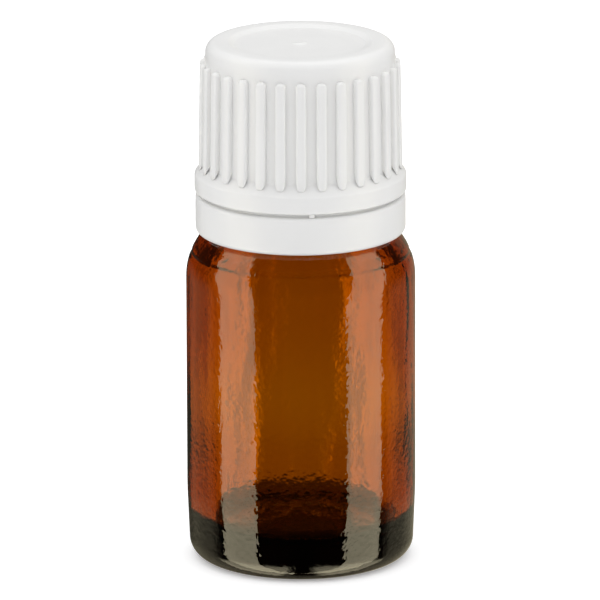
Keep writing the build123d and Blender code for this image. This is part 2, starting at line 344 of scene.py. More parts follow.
def blend_colours(tree, label, share, first, second):
    """A mix of two colours. A Mix node has sockets for each kind of data: the colours are 6 and 7."""
    node = place_node(tree, "ShaderNodeMix", label, data_type="RGBA")
    tree.links.new(share, node.inputs[0])
    node.inputs[6].default_value = (*first, 1.0)
    node.inputs[7].default_value = (*second, 1.0)
    return node.outputs[2]


def noise_node(tree, label, place, scale, **values):
    """A noise texture's strength at a place."""
    inputs = [("Vector", place), ("Scale", scale)]
    inputs += [(key, value) for key, value in values.items()]
    return place_node(tree, "ShaderNodeTexNoise", label, inputs).outputs[0]


def bump_node(tree, label, strength, distance, height):
    """A Bump node's normals."""
    inputs = [("Strength", strength), ("Distance", distance), ("Height", height)]
    return place_node(tree, "ShaderNodeBump", label, inputs).outputs[0]


def new_group(name, inputs, outputs):
    """A shader node group with float inputs and outputs, and its input and output nodes."""
    group = bpy.data.node_groups.new(name, "ShaderNodeTree")
    for label, value in inputs.items():
        socket = group.interface.new_socket(label, in_out="INPUT", socket_type="NodeSocketFloat")
        socket.default_value = value
    for label in outputs:
        group.interface.new_socket(label, in_out="OUTPUT", socket_type="NodeSocketFloat")
    return group, group.nodes.new("NodeGroupInput"), group.nodes.new("NodeGroupOutput")


def surface_flow_group():
    """Broad unevenness of a moulded or blown surface, and fine grain over it."""
    name = "Moulded surface"
    if name in bpy.data.node_groups:
        return bpy.data.node_groups[name]
    inputs = {"Broad Scale": 300.0, "Fine Scale": 3000.0, "Stretch": 1.0, "Fine Share": 0.3}
    group, given, made = new_group(name, inputs, ["Height", "Variation"])
    place = place_node(group, "ShaderNodeTexCoord", "place").outputs["Object"]
    axes = place_node(group, "ShaderNodeSeparateXYZ", "axes", [(0, place)]).outputs
    rise = calculate(group, "DIVIDE", axes["Z"], given.outputs["Stretch"])
    stretched = place_node(
        group, "ShaderNodeCombineXYZ", "stretched place", [("X", axes["X"]), ("Y", axes["Y"]), ("Z", rise)]
    ).outputs[0]
    broad_scale, fine_scale = given.outputs["Broad Scale"], given.outputs["Fine Scale"]
    broad = noise_node(group, "broad waves", stretched, broad_scale, Detail=2.0, Roughness=0.5)
    fine = noise_node(group, "fine grain", place, fine_scale, Detail=1.0, Roughness=0.5)
    height = calculate(group, "MULTIPLY_ADD", fine, given.outputs["Fine Share"], broad)
    group.links.new(height, made.inputs["Height"])
    group.links.new(broad, made.inputs["Variation"])
    return group


def handling_group():
    """Marks of handling: faint smears and a few fine scuffs."""
    name = "Handling marks"
    if name in bpy.data.node_groups:
        return bpy.data.node_groups[name]
    group, given, made = new_group(name, {"Smear Scale": 150.0, "Scuff Scale": 900.0}, ["Smears", "Scuffs"])
    place = place_node(group, "ShaderNodeTexCoord", "place").outputs["Object"]
    smear = noise_node(group, "smears", place, given.outputs["Smear Scale"], Detail=4.0, Distortion=1.5)
    scuff = noise_node(group, "scuffs", place, given.outputs["Scuff Scale"], Detail=5.0, Distortion=3.0)
    group.links.new(remap(group, smear, 0.45, 0.75, 0.0, 1.0), made.inputs["Smears"])
    group.links.new(remap(group, scuff, 0.62, 0.72, 0.0, 1.0), made.inputs["Scuffs"])
    return group


def set_inputs(node, **values):
    """Sets a node's inputs, named with underscores for spaces."""
    for key, value in values.items():
        node.inputs[key.replace("_", " ")].default_value = value


def use_group(tree, group, **values):
    """Places a node group in a material with its own values, and gives its outputs."""
    node = place_node(tree, "ShaderNodeGroup", group.name, node_tree=group)
    set_inputs(node, **values)
    return node.outputs


# ---------------------------------------------------------------- materials


def new_material(name):
    """An empty material with its tree, its shader and its output."""
    material = bpy.data.materials.new(name)
    material.use_nodes = True
    tree = material.node_tree
    tree.nodes.clear()
    shader = place_node(tree, "ShaderNodeBsdfPrincipled", "surface")
    output = place_node(tree, "ShaderNodeOutputMaterial", "output", [("Surface", shader.outputs[0])])
    return material, tree, shader, output


def amber_glass(finish):
    """Blown amber glass: clear, fire polished, a little wavy, its colour held in the thickness."""
    material, tree, shader, output = new_material("blown amber glass")
    skin = use_group(
        tree, surface_flow_group(), Broad_Scale=420.0, Fine_Scale=1900.0, Stretch=2.5, Fine_Share=1.5
    )
    marks = use_group(tree, handling_group(), Smear_Scale=140.0, Scuff_Scale=1200.0)
    peel = bump_node(tree, "orange peel", 1.0, 0.014 * MM, skin["Height"])
    set_inputs(shader, Base_Color=WHITE, Metallic=0.0, Transmission_Weight=1.0, IOR=1.52)
    tree.links.new(remap(tree, marks["Smears"], 0.0, 1.0, 0.0, 0.01), shader.inputs["Roughness"])
    tree.links.new(peel, shader.inputs["Normal"])
    volume = tree.nodes.new("ShaderNodeVolumeAbsorption")
    set_inputs(volume, Color=(*finish.amber, 1.0), Density=finish.amber_density)
    tree.links.new(volume.outputs[0], output.inputs["Volume"])
    return material


def moulded_plastic(name, base, roughness, specular, soft):
    """Moulded white plastic with a faint flow pattern, fine grain and handling marks."""
    material, tree, shader, _ = new_material(name)
    skin = use_group(
        tree, surface_flow_group(), Broad_Scale=260.0, Fine_Scale=5200.0, Stretch=1.6, Fine_Share=0.5
    )
    marks = use_group(tree, handling_group(), Smear_Scale=180.0, Scuff_Scale=1500.0)
    flow = remap(tree, skin["Variation"], 0.3, 0.7, 0.0, 1.0)
    duller = tuple(value * 0.985 for value in base)
    tint = blend_colours(tree, "flow tint", flow, duller, base)
    grain = bump_node(tree, "moulded grain", 0.5, 0.005 * MM, skin["Height"])
    smeared = remap(tree, marks["Smears"], 0.0, 1.0, roughness, roughness + 0.03)
    scuffed = calculate(tree, "MULTIPLY_ADD", marks["Scuffs"], 0.04, smeared)
    tree.links.new(tint, shader.inputs["Base Color"])
    tree.links.new(scuffed, shader.inputs["Roughness"])
    tree.links.new(grain, shader.inputs["Normal"])
    set_inputs(shader, Specular_IOR_Level=specular)
    set_inputs(shader, Subsurface_Weight=soft, Subsurface_Radius=(1.0, 1.0, 1.0), Subsurface_Scale=0.6 * MM)
    return material


def cell_foam(finish):
    """Fine closed-cell foam sheet."""
    material, tree, shader, _ = new_material("foam sheet")
    place = place_node(tree, "ShaderNodeTexCoord", "place").outputs["Object"]
    cells = place_node(tree, "ShaderNodeTexVoronoi", "cells", [("Vector", place), ("Scale", 5000.0)]).outputs
    marks = use_group(tree, handling_group(), Smear_Scale=220.0, Scuff_Scale=1500.0)
    depth = remap(tree, cells["Distance"], 0.1, 0.6, 0.0, 1.0)
    duller = tuple(value * 0.93 for value in finish.liner_white)
    tint = blend_colours(tree, "cell tint", depth, finish.liner_white, duller)
    walls = bump_node(tree, "cell walls", 0.7, 0.014 * MM, cells["Distance"])
    tree.links.new(tint, shader.inputs["Base Color"])
    tree.links.new(remap(tree, marks["Smears"], 0.0, 1.0, 0.75, 0.9), shader.inputs["Roughness"])
    tree.links.new(walls, shader.inputs["Normal"])
    return material


def cap_plastic():
    """The white plastic that the cap, the ring and the bridges share."""
    name = "white cap plastic"
    if name in bpy.data.materials:
        return bpy.data.materials[name]
    white = bpy.context.scene.vial_finish.cap_white
    return moulded_plastic(name, white, roughness=0.32, specular=0.3, soft=0.25)


# ---------------------------------------------------------------- glass

PUSH_UP_SLOPE = 0.9 * MM  # width of the slope round the hollow under the base
PUSH_UP_ROUNDING = 0.4 * MM
TAPER_ROUNDING = 40 * MM  # where the straight wall starts to draw in
BEAD_CREST = 0.7 * MM  # height of the lock bead's upright face
BEAD_ROUNDING = 0.25 * MM
BEAD_TOP_ROUNDING = 0.3 * MM
LIP_ROUNDING = 0.6 * MM
MOUTH_ROUNDING = 0.35 * MM
INNER_SHOULDER_LOW = 1.25 * MM  # above the body's top
INNER_SHOULDER_HIGH = 5.45 * MM  # above the body's top
INNER_SHOULDER_ROUNDING = 4.0 * MM
BORE_ROUNDING = 2.0 * MM
THREAD_BELOW_LIP = 2.6 * MM
THREAD_HALF_WIDTH = 0.75 * MM
THREAD_FLANK = 0.4 * MM
THREAD_FADE = 0.12  # turns over which each end of the thread fades out
RIPPLE_WIDTH = 2.2 * MM  # size of the blown waves round the wall
RIPPLE_HEIGHT = 14 * MM  # and up the wall
SMALL_RIPPLE = 2.7  # how many times smaller the second waves are
SMALL_RIPPLE_SHARE = 0.4
FLOOR_RIPPLE = 0.7  # share of the ripple that reaches the inner floor
CALM_MIDDLE = 4 * MM  # radius within which the floor's ripple dies away
THIN_MIDDLE = 16 * MM  # height of the thinnest glass
THIN_SPREAD = 5 * MM
THICK_SPREAD = 4 * MM  # above the inner floor, where the wall is thicker
THICK_SHARE = 0.3


class VIAL_OT_glass(bpy.types.Operator):
    """Blow the amber glass vial with its thick base, shoulder, lock bead and threaded neck"""

    bl_idname = "vial.glass"
    bl_label = "Glass vial"

    def outline(self, size):
        """Corners of the wall's section, up the outside and down the inside."""
        shoulder_turn = math.acos((size.neck_radius - size.radius + size.shoulder) / size.shoulder)
        shoulder_corner = size.body_top + size.shoulder * math.tan(shoulder_turn / 2)
        neck_start = size.body_top + size.shoulder * math.sin(shoulder_turn)
        inner = size.radius - size.wall
        return [
            (0, size.push_up, 0),
            (size.push_up_radius - PUSH_UP_SLOPE, size.push_up, PUSH_UP_ROUNDING),
            (size.push_up_radius, 0, PUSH_UP_ROUNDING),
            (size.base_radius, 0, size.heel),
            (size.radius, size.base_taper, TAPER_ROUNDING),
            (size.radius, shoulder_corner, size.shoulder),
            (size.neck_radius, neck_start, 0),
            (size.neck_radius, size.bead_bottom, 0),
            (size.bead_radius, size.bead_bottom, BEAD_ROUNDING),
            (size.bead_radius, size.bead_bottom + BEAD_CREST, BEAD_ROUNDING),
            (size.neck_radius, size.bead_bottom + size.bead_height, BEAD_TOP_ROUNDING),
            (size.neck_radius, size.height, LIP_ROUNDING),
            (size.bore_radius, size.height, MOUTH_ROUNDING),
            (size.bore_radius, size.body_top + INNER_SHOULDER_HIGH, BORE_ROUNDING),
            (inner, size.body_top + INNER_SHOULDER_LOW, INNER_SHOULDER_ROUNDING),
            (inner, size.floor, size.floor_corner),
            (0, size.floor, 0),
        ]

    def thread_height(self, size, start, place):
        """How far the thread stands out at a place on the neck, from 0 at the root to 1 at the crest."""
        angle = math.atan2(place.y, place.x) % math.tau
        ridge = 0.0
        for turn in range(math.ceil(size.thread_turns) + 1):
            travel = turn + angle / math.tau
            away = abs(place.z - start - travel * size.pitch)
            fade = min(travel, size.thread_turns - travel) / THREAD_FADE
            if fade > 0 and away < THREAD_HALF_WIDTH:
                flank = min(1.0, (THREAD_HALF_WIDTH - away) / THREAD_FLANK)
                ridge = max(ridge, min(1.0, fade) * flank * flank * (3 - 2 * flank))
        return ridge

    def raise_thread(self, bm, size):
        """Raises the screw thread on the neck and fades both of its ends."""
        start = size.height - THREAD_BELOW_LIP - size.pitch * size.thread_turns
        neck_start = size.bead_bottom + size.bead_height
        for vert in bm.verts:
            radius = vert.co.xy.length
            if abs(radius - size.neck_radius) > 0.05 * MM or vert.co.z < neck_start:
                continue
            ridge = self.thread_height(size, start, vert.co)
            vert.co.xy *= (radius + ridge * size.thread_depth) / radius

    def press_crease(self, bm, size):
        """Cuts the fine mould joint round the shoulder."""
        for vert in bm.verts:
            radius = vert.co.xy.length
            away = (vert.co.z - size.crease_height) / size.crease_width
            if abs(away) < 3 and radius > size.radius - size.wall:
                vert.co.xy *= (radius - size.crease_depth * math.exp(-away * away)) / radius

    def ripple_inside(self, bm, size):
        """Lets the blown inner wall and floor wander, mostly in long upright waves."""
        inner = size.radius - size.wall
        for vert in bm.verts:
            radius = vert.co.xy.length
            if radius > inner + 0.3 * MM or vert.co.z < size.floor - 0.2 * MM:
                continue
            if vert.co.z > size.body_top + 4 * MM or radius < SAME_PLACE:
                continue
            place = Vector((vert.co.x / RIPPLE_WIDTH, vert.co.y / RIPPLE_WIDTH, vert.co.z / RIPPLE_HEIGHT))
            wave = noise.noise(place) + SMALL_RIPPLE_SHARE * noise.noise(place * SMALL_RIPPLE)
            if vert.co.z < size.floor + 0.2 * MM:
                share = min(1.0, radius / CALM_MIDDLE)
                vert.co.z += share * wave * FLOOR_RIPPLE * size.inner_ripple
            else:
                thin = math.exp(-(((vert.co.z - THIN_MIDDLE) / THIN_SPREAD) ** 2))
                thick = math.exp(-(((vert.co.z - size.floor) / THICK_SPREAD) ** 2))
                thinned = thin * size.thin_band - thick * THICK_SHARE * size.thin_band
                vert.co.xy *= (radius + wave * size.inner_ripple + thinned) / radius

    def execute(self, context):
        size = context.scene.vial_glass
        crease = size.crease_height
        finer = (
            (crease - 0.8 * MM, crease + 0.8 * MM, size.radius - size.wall, 4),
            (size.bead_bottom + size.bead_height, size.height - MM, size.neck_radius - 0.1 * MM, 2),
        )
        bm = turned(self.outline(size), 0.36 * MM, steps=180, arc_steps=10, finer=finer)
        self.raise_thread(bm, size)
        self.press_crease(bm, size)
        self.ripple_inside(bm, size)
        set_angle_sharp(bm, 50)
        material = amber_glass(context.scene.vial_finish)
        make_piece("glass_vial", bm, material, "vial", "bottle")
        return {"FINISHED"}


# ---------------------------------------------------------------- dropper insert and liner

INSERT_CLEARANCE = 0.1 * MM  # between the barrel and the glass
INSERT_WALL = 0.9 * MM
INSERT_LENGTH = 6.4 * MM  # below the lip
INSERT_WELL = 4.2 * MM  # from the flange's top down to the web
INSERT_WEB = 1.0 * MM
SOFT_EDGE = 0.2 * MM
TIGHT_EDGE = 0.15 * MM
CRISP_EDGE = 0.1 * MM
NOZZLE_FOOT = 1.6 * MM
NOZZLE_TIP = 1.15 * MM
NOZZLE_BORE = 0.5 * MM
NOZZLE_SHY = 0.15 * MM  # the tip stays this much below the flange's top
NOZZLE_BELOW = 2.0 * MM
SEAL_COUNT = 3
SEAL_START = 1.6  # in MM, from the lip to the first sealing bead
SEAL_SPACING = 1.5  # in MM
SEAL_HALF_WIDTH = 0.35 * MM
VENT_BORE = 0.4 * MM
VENT_RADIUS = 1.0 * MM
VENT_OFFSET = 2.9 * MM
VENT_ABOVE = 0.7 * MM
VENT_BELOW = 4.8 * MM


class VIAL_OT_dropper_insert(bpy.types.Operator):
    """Mould the milky dropper insert that plugs the neck"""

    bl_idname = "vial.dropper_insert"
    bl_label = "Dropper insert"

    def outline(self, size):
        """Corners of the plug's section, round the flange, down the nozzle and up the barrel."""
        lip, flange, top = size.height, INSERT_HIGH.x, INSERT_HIGH.z
        barrel = size.bore_radius - INSERT_CLEARANCE
        skirt = barrel - INSERT_WALL
        web_top = top - INSERT_WELL
        web_bottom = web_top - INSERT_WEB
        bottom = lip - INSERT_LENGTH
        tip = top - NOZZLE_SHY
        corners = [
            (barrel, lip, 0),
            (flange, lip, CRISP_EDGE),
            (flange, top, SOFT_EDGE),
            (skirt, top, SOFT_EDGE),
            (skirt, web_top, SOFT_EDGE),
            (NOZZLE_FOOT, web_top, TIGHT_EDGE),
            (NOZZLE_TIP, tip, SOFT_EDGE),
            (NOZZLE_BORE, tip, CRISP_EDGE),
            (NOZZLE_BORE, web_bottom - NOZZLE_BELOW, 0),
            (NOZZLE_TIP, web_bottom - NOZZLE_BELOW, TIGHT_EDGE),
            (NOZZLE_FOOT, web_bottom, TIGHT_EDGE),
            (skirt, web_bottom, SOFT_EDGE),
            (skirt, bottom, CRISP_EDGE),
            (barrel, bottom, 0.3 * MM),
        ]
        for index in reversed(range(SEAL_COUNT)):
            middle = lip - (SEAL_START + index * SEAL_SPACING) * MM
            corners += [
                (barrel, middle - SEAL_HALF_WIDTH, 0),
                (size.bore_radius, middle, TIGHT_EDGE),
                (barrel, middle + SEAL_HALF_WIDTH, 0),
            ]
        return corners

    def vent(self):
        """The air tube beside the nozzle, through the web."""
        web_top = INSERT_HIGH.z - INSERT_WELL
        bottom = web_top - INSERT_WEB - VENT_BELOW
        bm = bmesh.new()
        corners = [
            (VENT_BORE, bottom, 0),
            (VENT_RADIUS, bottom, 0.12 * MM),
            (VENT_RADIUS, web_top + VENT_ABOVE, TIGHT_EDGE),
            (VENT_BORE, web_top + VENT_ABOVE, CRISP_EDGE),
        ]
        draw_outline(bm, corners, 1.5 * MM, closed=True, arc_steps=4)
        turn_round(bm, 32)
        bmesh.ops.translate(bm, verts=bm.verts, vec=(VENT_OFFSET, 0, 0))
        return bm

    def execute(self, context):
        bm = turned(self.outline(context.scene.vial_glass), 0.8 * MM, steps=96, closed=True, arc_steps=6)
        join_into(bm, self.vent())
        set_angle_sharp(bm, 40)
        white = context.scene.vial_finish.insert_white
        material = moulded_plastic("milky insert plastic", white, 0.42, specular=0.45, soft=0.6)
        make_piece("dropper_insert_moulded", bm, material, "vial", "dropper_insert")
        return {"FINISHED"}


class VIAL_OT_cap_liner(bpy.types.Operator):
    """Punch the foam liner that seals the cap against the insert"""

    bl_idname = "vial.cap_liner"
    bl_label = "Cap liner"

    def execute(self, context):
        low, high, edge = LINER_LOW.z, LINER_HIGH.z, LINER_HIGH.x
        print_radius = INSERT_HIGH.x - 0.1 * MM
        print_top = low + 0.05 * MM  # the insert's flange presses this far into the foam
        corners = [
            (0, low, 0),
            (print_radius - 1.5 * MM, low, 0.3 * MM),
            (print_radius - 1.3 * MM, print_top, 0.1 * MM),
            (print_radius, print_top, 0.05 * MM),
            (print_radius + 0.1 * MM, low, 0.1 * MM),
            (edge, low, 0.12 * MM),
            (edge, high, 0.12 * MM),
            (0, high, 0),
        ]
        bm = turned(corners, 0.8 * MM, steps=120, arc_steps=4)
        set_angle_sharp(bm, 40)
        material = cell_foam(context.scene.vial_finish)
        make_piece("foam_liner", bm, material, "liner", "cap_liner")
        return {"FINISHED"}


# ---------------------------------------------------------------- cap, ring and bridges

COLUMNS_PER_RIB = 2  # the gap beside each rib takes as many columns
CAP_EDGE = 0.12 * MM
GATE_RADIUS = 0.35 * MM
GATE_SPREAD = 0.75 * MM
GATE_HEIGHT = 0.1 * MM
LINER_BEAD_REACH = 0.2 * MM  # bead that keeps the liner up
LINER_BEAD_HEIGHT = 0.55 * MM
RIB_FOOT_DROP = 0.62 * MM  # how far a rib's foot runs down the flange's slope
RIB_CORNER = 0.42 * MM
RIB_FOOT_CORNER = 0.3 * MM
RIB_RIM = 0.24 * MM
CAP_THREAD_TURNS = 1.4
CAP_THREAD_ROOT = 0.55 * MM  # half of its width at the root
CAP_THREAD_CREST = 0.25 * MM  # half of its width at the crest
CAP_THREAD_SINK = 0.2 * MM
RING_CLEARANCE = 0.7 * MM  # round the lock bead
RING_HOOK = 0.35 * MM  # how far the ring's hook reaches under the lock bead
RING_LIP = 0.15 * MM


class VIAL_OT_screw_cap(bpy.types.Operator):
    """Mould the ribbed screw cap"""

    bl_idname = "vial.screw_cap"
    bl_label = "Screw cap"

    def rib_top(self, size):
        """Height of the ribs' tops."""
        return size.top - size.rib_below_crown

    def slope_top(self, size):
        """Height at which the flange's slope meets the wall."""
        return size.foot + size.flange_band + size.flange_slope

    def wall_at(self, size, height):
        """Radius of the drafted wall at a height."""
        share = (size.top - height) / (size.top - size.foot - size.flange_band - size.flange_slope)
        return size.wall_radius + size.draft * share

    def outline(self, size):
        """Corners of the cap's section, from the ceiling's middle round to the crown's middle."""
        dish = size.top - size.rim_depth
        ceiling = size.top - size.panel
        bead = LINER_LOW.z - 0.05 * MM
        rib_top = self.rib_top(size)
        return [
            (0, ceiling, 0),
            (size.bore, ceiling, 0.2 * MM),
            (size.bore, bead, 0),
            (size.bore - LINER_BEAD_REACH, bead - 0.11 * MM, 0.05 * MM),
            (size.bore, bead - LINER_BEAD_HEIGHT, 0),
            (size.bore, size.foot + 0.3 * MM, 0),
            (size.bore + 0.3 * MM, size.foot, 0.1 * MM),
            (size.flange_radius, size.foot, 0.18 * MM),
            (size.flange_radius, size.foot + size.flange_band, 0.35 * MM),
            (size.wall_radius + size.draft, self.slope_top(size), 0.45 * MM),
            (self.wall_at(size, rib_top), rib_top, 0),
            (size.wall_radius, size.top, size.crown_rounding),
            (size.rim_radius, size.top, CAP_EDGE),
            (size.rim_radius - size.rim_width, dish, CAP_EDGE),
            (GATE_SPREAD, dish, 0.2 * MM),
            (GATE_RADIUS, dish + GATE_HEIGHT, 0.1 * MM),
            (0, dish + GATE_HEIGHT, 0),
        ]

    def rib_faces(self, bm, size):
        """The faces of the wall that the ribs grow from."""
        step = math.tau / size.rib_count
        low, high = self.slope_top(size) + 0.25 * MM, self.rib_top(size)
        ribs = []
        for face in bm.faces:
            centre = face.calc_center_median()
            angle = math.atan2(centre.y, centre.x) + math.pi / 2 - size.rib_phase
            beside = abs((angle + step / 2) % step - step / 2)
            if low < centre.z < high and centre.xy.length >= size.bore + 0.3 * MM and beside < step / 4:
                ribs.append(face)
        return ribs

    def draw_out(self, bm, size, ribs):
        """Draws faces out of the wall, together with their edges, and lowers their feet."""
        region = dict.fromkeys(ribs)
        region.update(dict.fromkeys(edge for face in ribs for edge in face.edges))
        region.update(dict.fromkeys(vert for face in ribs for vert in face.verts))
        drawn = bmesh.ops.extrude_face_region(bm, geom=list(region))
        fronts = [item for item in drawn["geom"] if isinstance(item, bmesh.types.BMVert)]
        lowest = min(vert.co.z for vert in fronts)
        for vert in fronts:
            radius = vert.co.xy.length
            vert.co.xy *= (radius + size.rib_height) / radius
            if vert.co.z < lowest + SAME_PLACE:
                vert.co.z = self.slope_top(size) - RIB_FOOT_DROP
        bm.normal_update()

    def raise_ribs(self, bm, size):
        """Draws the grip ribs out of the wall and rounds their ends and flanks."""
        rib_top = self.rib_top(size)
        slope_top = self.slope_top(size)
        ribs = self.rib_faces(bm, size)
        if not ribs:
            raise RuntimeError("no face of the wall lies where a rib should grow")
        self.draw_out(bm, size, ribs)

        def on_ribs(vert):
            return slope_top - MM < vert.co.z < rib_top + SAME_PLACE

        def stands_out(vert):
            return vert.co.xy.length > self.wall_at(size, vert.co.z) + 0.9 * size.rib_height

        corners = []
        for edge in bm.edges:
            low, high = edge.verts
            reach = abs(low.co.xy.length - high.co.xy.length)
            if reach > 0.8 * size.rib_height and on_ribs(low) and edge.calc_face_angle() > 1:
                corners.append(edge)
        tops = [edge for edge in corners if edge.verts[0].co.z > rib_top - SAME_PLACE]
        feet = [edge for edge in corners if edge.verts[0].co.z < slope_top + MM]
        bevel(bm, tops, RIB_CORNER, 6)
        bevel(bm, feet, RIB_FOOT_CORNER, 4)
        bm.normal_update()
        fronts = [edge for edge in bm.edges if all(stands_out(vert) and on_ribs(vert) for vert in edge.verts)]
        bevel(bm, [edge for edge in fronts if edge.calc_face_angle() > 0.7], RIB_RIM, 4)

    def thread(self, size, glass):
        """The ridge inside the cap that runs in the glass thread."""
        crest = size.bore - glass.thread_depth
        root = size.bore + CAP_THREAD_SINK
        start = glass.height - THREAD_BELOW_LIP - glass.pitch * glass.thread_turns - glass.pitch / 2
        section = [
            (root, -CAP_THREAD_ROOT),
            (size.bore, -CAP_THREAD_ROOT),
            (crest, -CAP_THREAD_CREST),
            (crest, CAP_THREAD_CREST),
            (size.bore, CAP_THREAD_ROOT),
            (root, CAP_THREAD_ROOT),
        ]
        return helix_ridge(section, glass.pitch, start, CAP_THREAD_TURNS)

    def execute(self, context):
        size = context.scene.vial_cap
        steps = size.rib_count * COLUMNS_PER_RIB * 2
        bm = turned(self.outline(size), 0.9 * MM, steps)
        # the first column's edge lies on +X, and a rib is centred on the front where the phase is 0
        turn = Matrix.Rotation(size.rib_phase - math.pi / 2, 3, "Z")
        bmesh.ops.rotate(bm, verts=bm.verts, cent=(0, 0, 0), matrix=turn)
        self.raise_ribs(bm, size)
        join_into(bm, self.thread(size, context.scene.vial_glass))
        set_angle_sharp(bm, 35)
        piece = make_piece("ribbed_cap", bm, cap_plastic(), "cap", "screw_cap")
        even_shading(piece)
        return {"FINISHED"}


class VIAL_OT_tamper_ring(bpy.types.Operator):
    """Mould the tamper ring that stays on the neck"""

    bl_idname = "vial.tamper_ring"
    bl_label = "Tamper ring"

    def execute(self, context):
        glass = context.scene.vial_glass
        inner = glass.bead_radius + RING_CLEARANCE
        hook = glass.bead_radius - RING_HOOK
        hook_top = glass.bead_bottom - 0.2 * MM
        lip_foot = CAP_LOW.z - 0.1 * MM
        corners = [
            (inner, RING_LOW.z, 0.05 * MM),
            (RING_HIGH.x, RING_LOW.z, 0.55 * MM),
            (RING_HIGH.x, RING_HIGH.z, 0.35 * MM),
            (inner + RING_LIP, RING_HIGH.z - 0.02 * MM, 0.04 * MM),
            (inner + 0.13 * MM, lip_foot, 0.04 * MM),
            (inner, lip_foot, 0.04 * MM),
            (inner, hook_top, 0.1 * MM),
            (hook, hook_top, 0.15 * MM),
            (hook, hook_top - 0.8 * MM, 0.15 * MM),
            (inner, hook_top - 1.2 * MM, 0.1 * MM),
        ]
        bm = turned(corners, 0.8 * MM, steps=180, closed=True)
        set_angle_sharp(bm, 40)
        piece = make_piece("tear_ring", bm, cap_plastic(), "ring", "tamper_ring")
        even_shading(piece)
        return {"FINISHED"}


class VIAL_OT_tamper_bridges(bpy.types.Operator):
    """Mould the thin bridges between the cap and its ring"""

    bl_idname = "vial.tamper_bridges"
    bl_label = "Tamper bridges"

    def add_bridge(self, bm, size, index):
        """Adds one bridge, a little narrower at its foot, where it tears."""
        low, high, outer = BRIDGE_LOW.z, BRIDGE_HIGH.z, BRIDGE_HIGH.x
        middle = (0, size.bridge_depth / 2 - outer + 0.02 * MM, (low + high) / 2)
        block = bmesh.ops.create_cube(bm, size=1.0)["verts"]
        bmesh.ops.scale(bm, verts=block, vec=(size.bridge_width, size.bridge_depth, high - low))
        bmesh.ops.translate(bm, verts=block, vec=middle)
        foot = [vert for vert in block if vert.co.z < (low + high) / 2]
        bmesh.ops.scale(bm, verts=foot, vec=(0.85, 1, 1))
        turn = Matrix.Rotation(size.bridge_phase + index * math.tau / size.bridge_count, 3, "Z")
        bmesh.ops.rotate(bm, verts=block, cent=(0, 0, 0), matrix=turn)

    def execute(self, context):
        size = context.scene.vial_cap
        bm = bmesh.new()
        for index in range(size.bridge_count):
            self.add_bridge(bm, size, index)
        upright = [edge for edge in bm.edges if abs((edge.verts[0].co - edge.verts[1].co).z) > 0.1 * MM]
        bevel(bm, upright, 0.1 * MM, 3)
        set_angle_sharp(bm, 40)
        make_piece("tear_bridges", bm, cap_plastic(), "cap", "tamper_bridges")
        return {"FINISHED"}


# ---------------------------------------------------------------- stage

# Brightness by the turn round the vial, from 0 beside the camera to 1 straight behind
PANELS_IN_REFLECTIONS = (
    (0.0, 0.002),
    (0.262, 0.003),
    (0.266, 0.9),
    (0.494, 0.9),
    (0.498, 0.003),
    (1.0, 0.003),
)
PANELS_THROUGH_GLASS = (
    (0.0, 0.05), (0.29, 0.05), (0.34, 0.2), (0.49, 0.25), (0.54, 0.05),
    (0.66, 0.02), (0.71, 0.09), (0.77, 0.055), (0.82, 0.105), (0.87, 0.09),
    (0.92, 0.11), (0.958, 0.10), (0.97, 0.055), (0.982, 0.043), (1.0, 0.041),
)
WARM_PANELS = (1.0, 0.9, 0.62)
LOOK_DOWN = 0.264  # how far the view leans down, as the rise of a level look's reflection
PANEL_LEAN = 0.32
PANEL_STRENGTH = 3.0
BACKDROP_STRENGTH = 12.0
FLOOR_RADIUS = 3.0
FLOOR_GLOW = 0.3
CAMERA_DISTANCE = 1.0
CAMERA_LENS = 611.0
CAMERA_ELEVATION = math.radians(15.3)
CAMERA_ROLL = math.radians(-0.17)
CAMERA_AIM = Vector((-0.08 * MM, 0, 25.8 * MM))


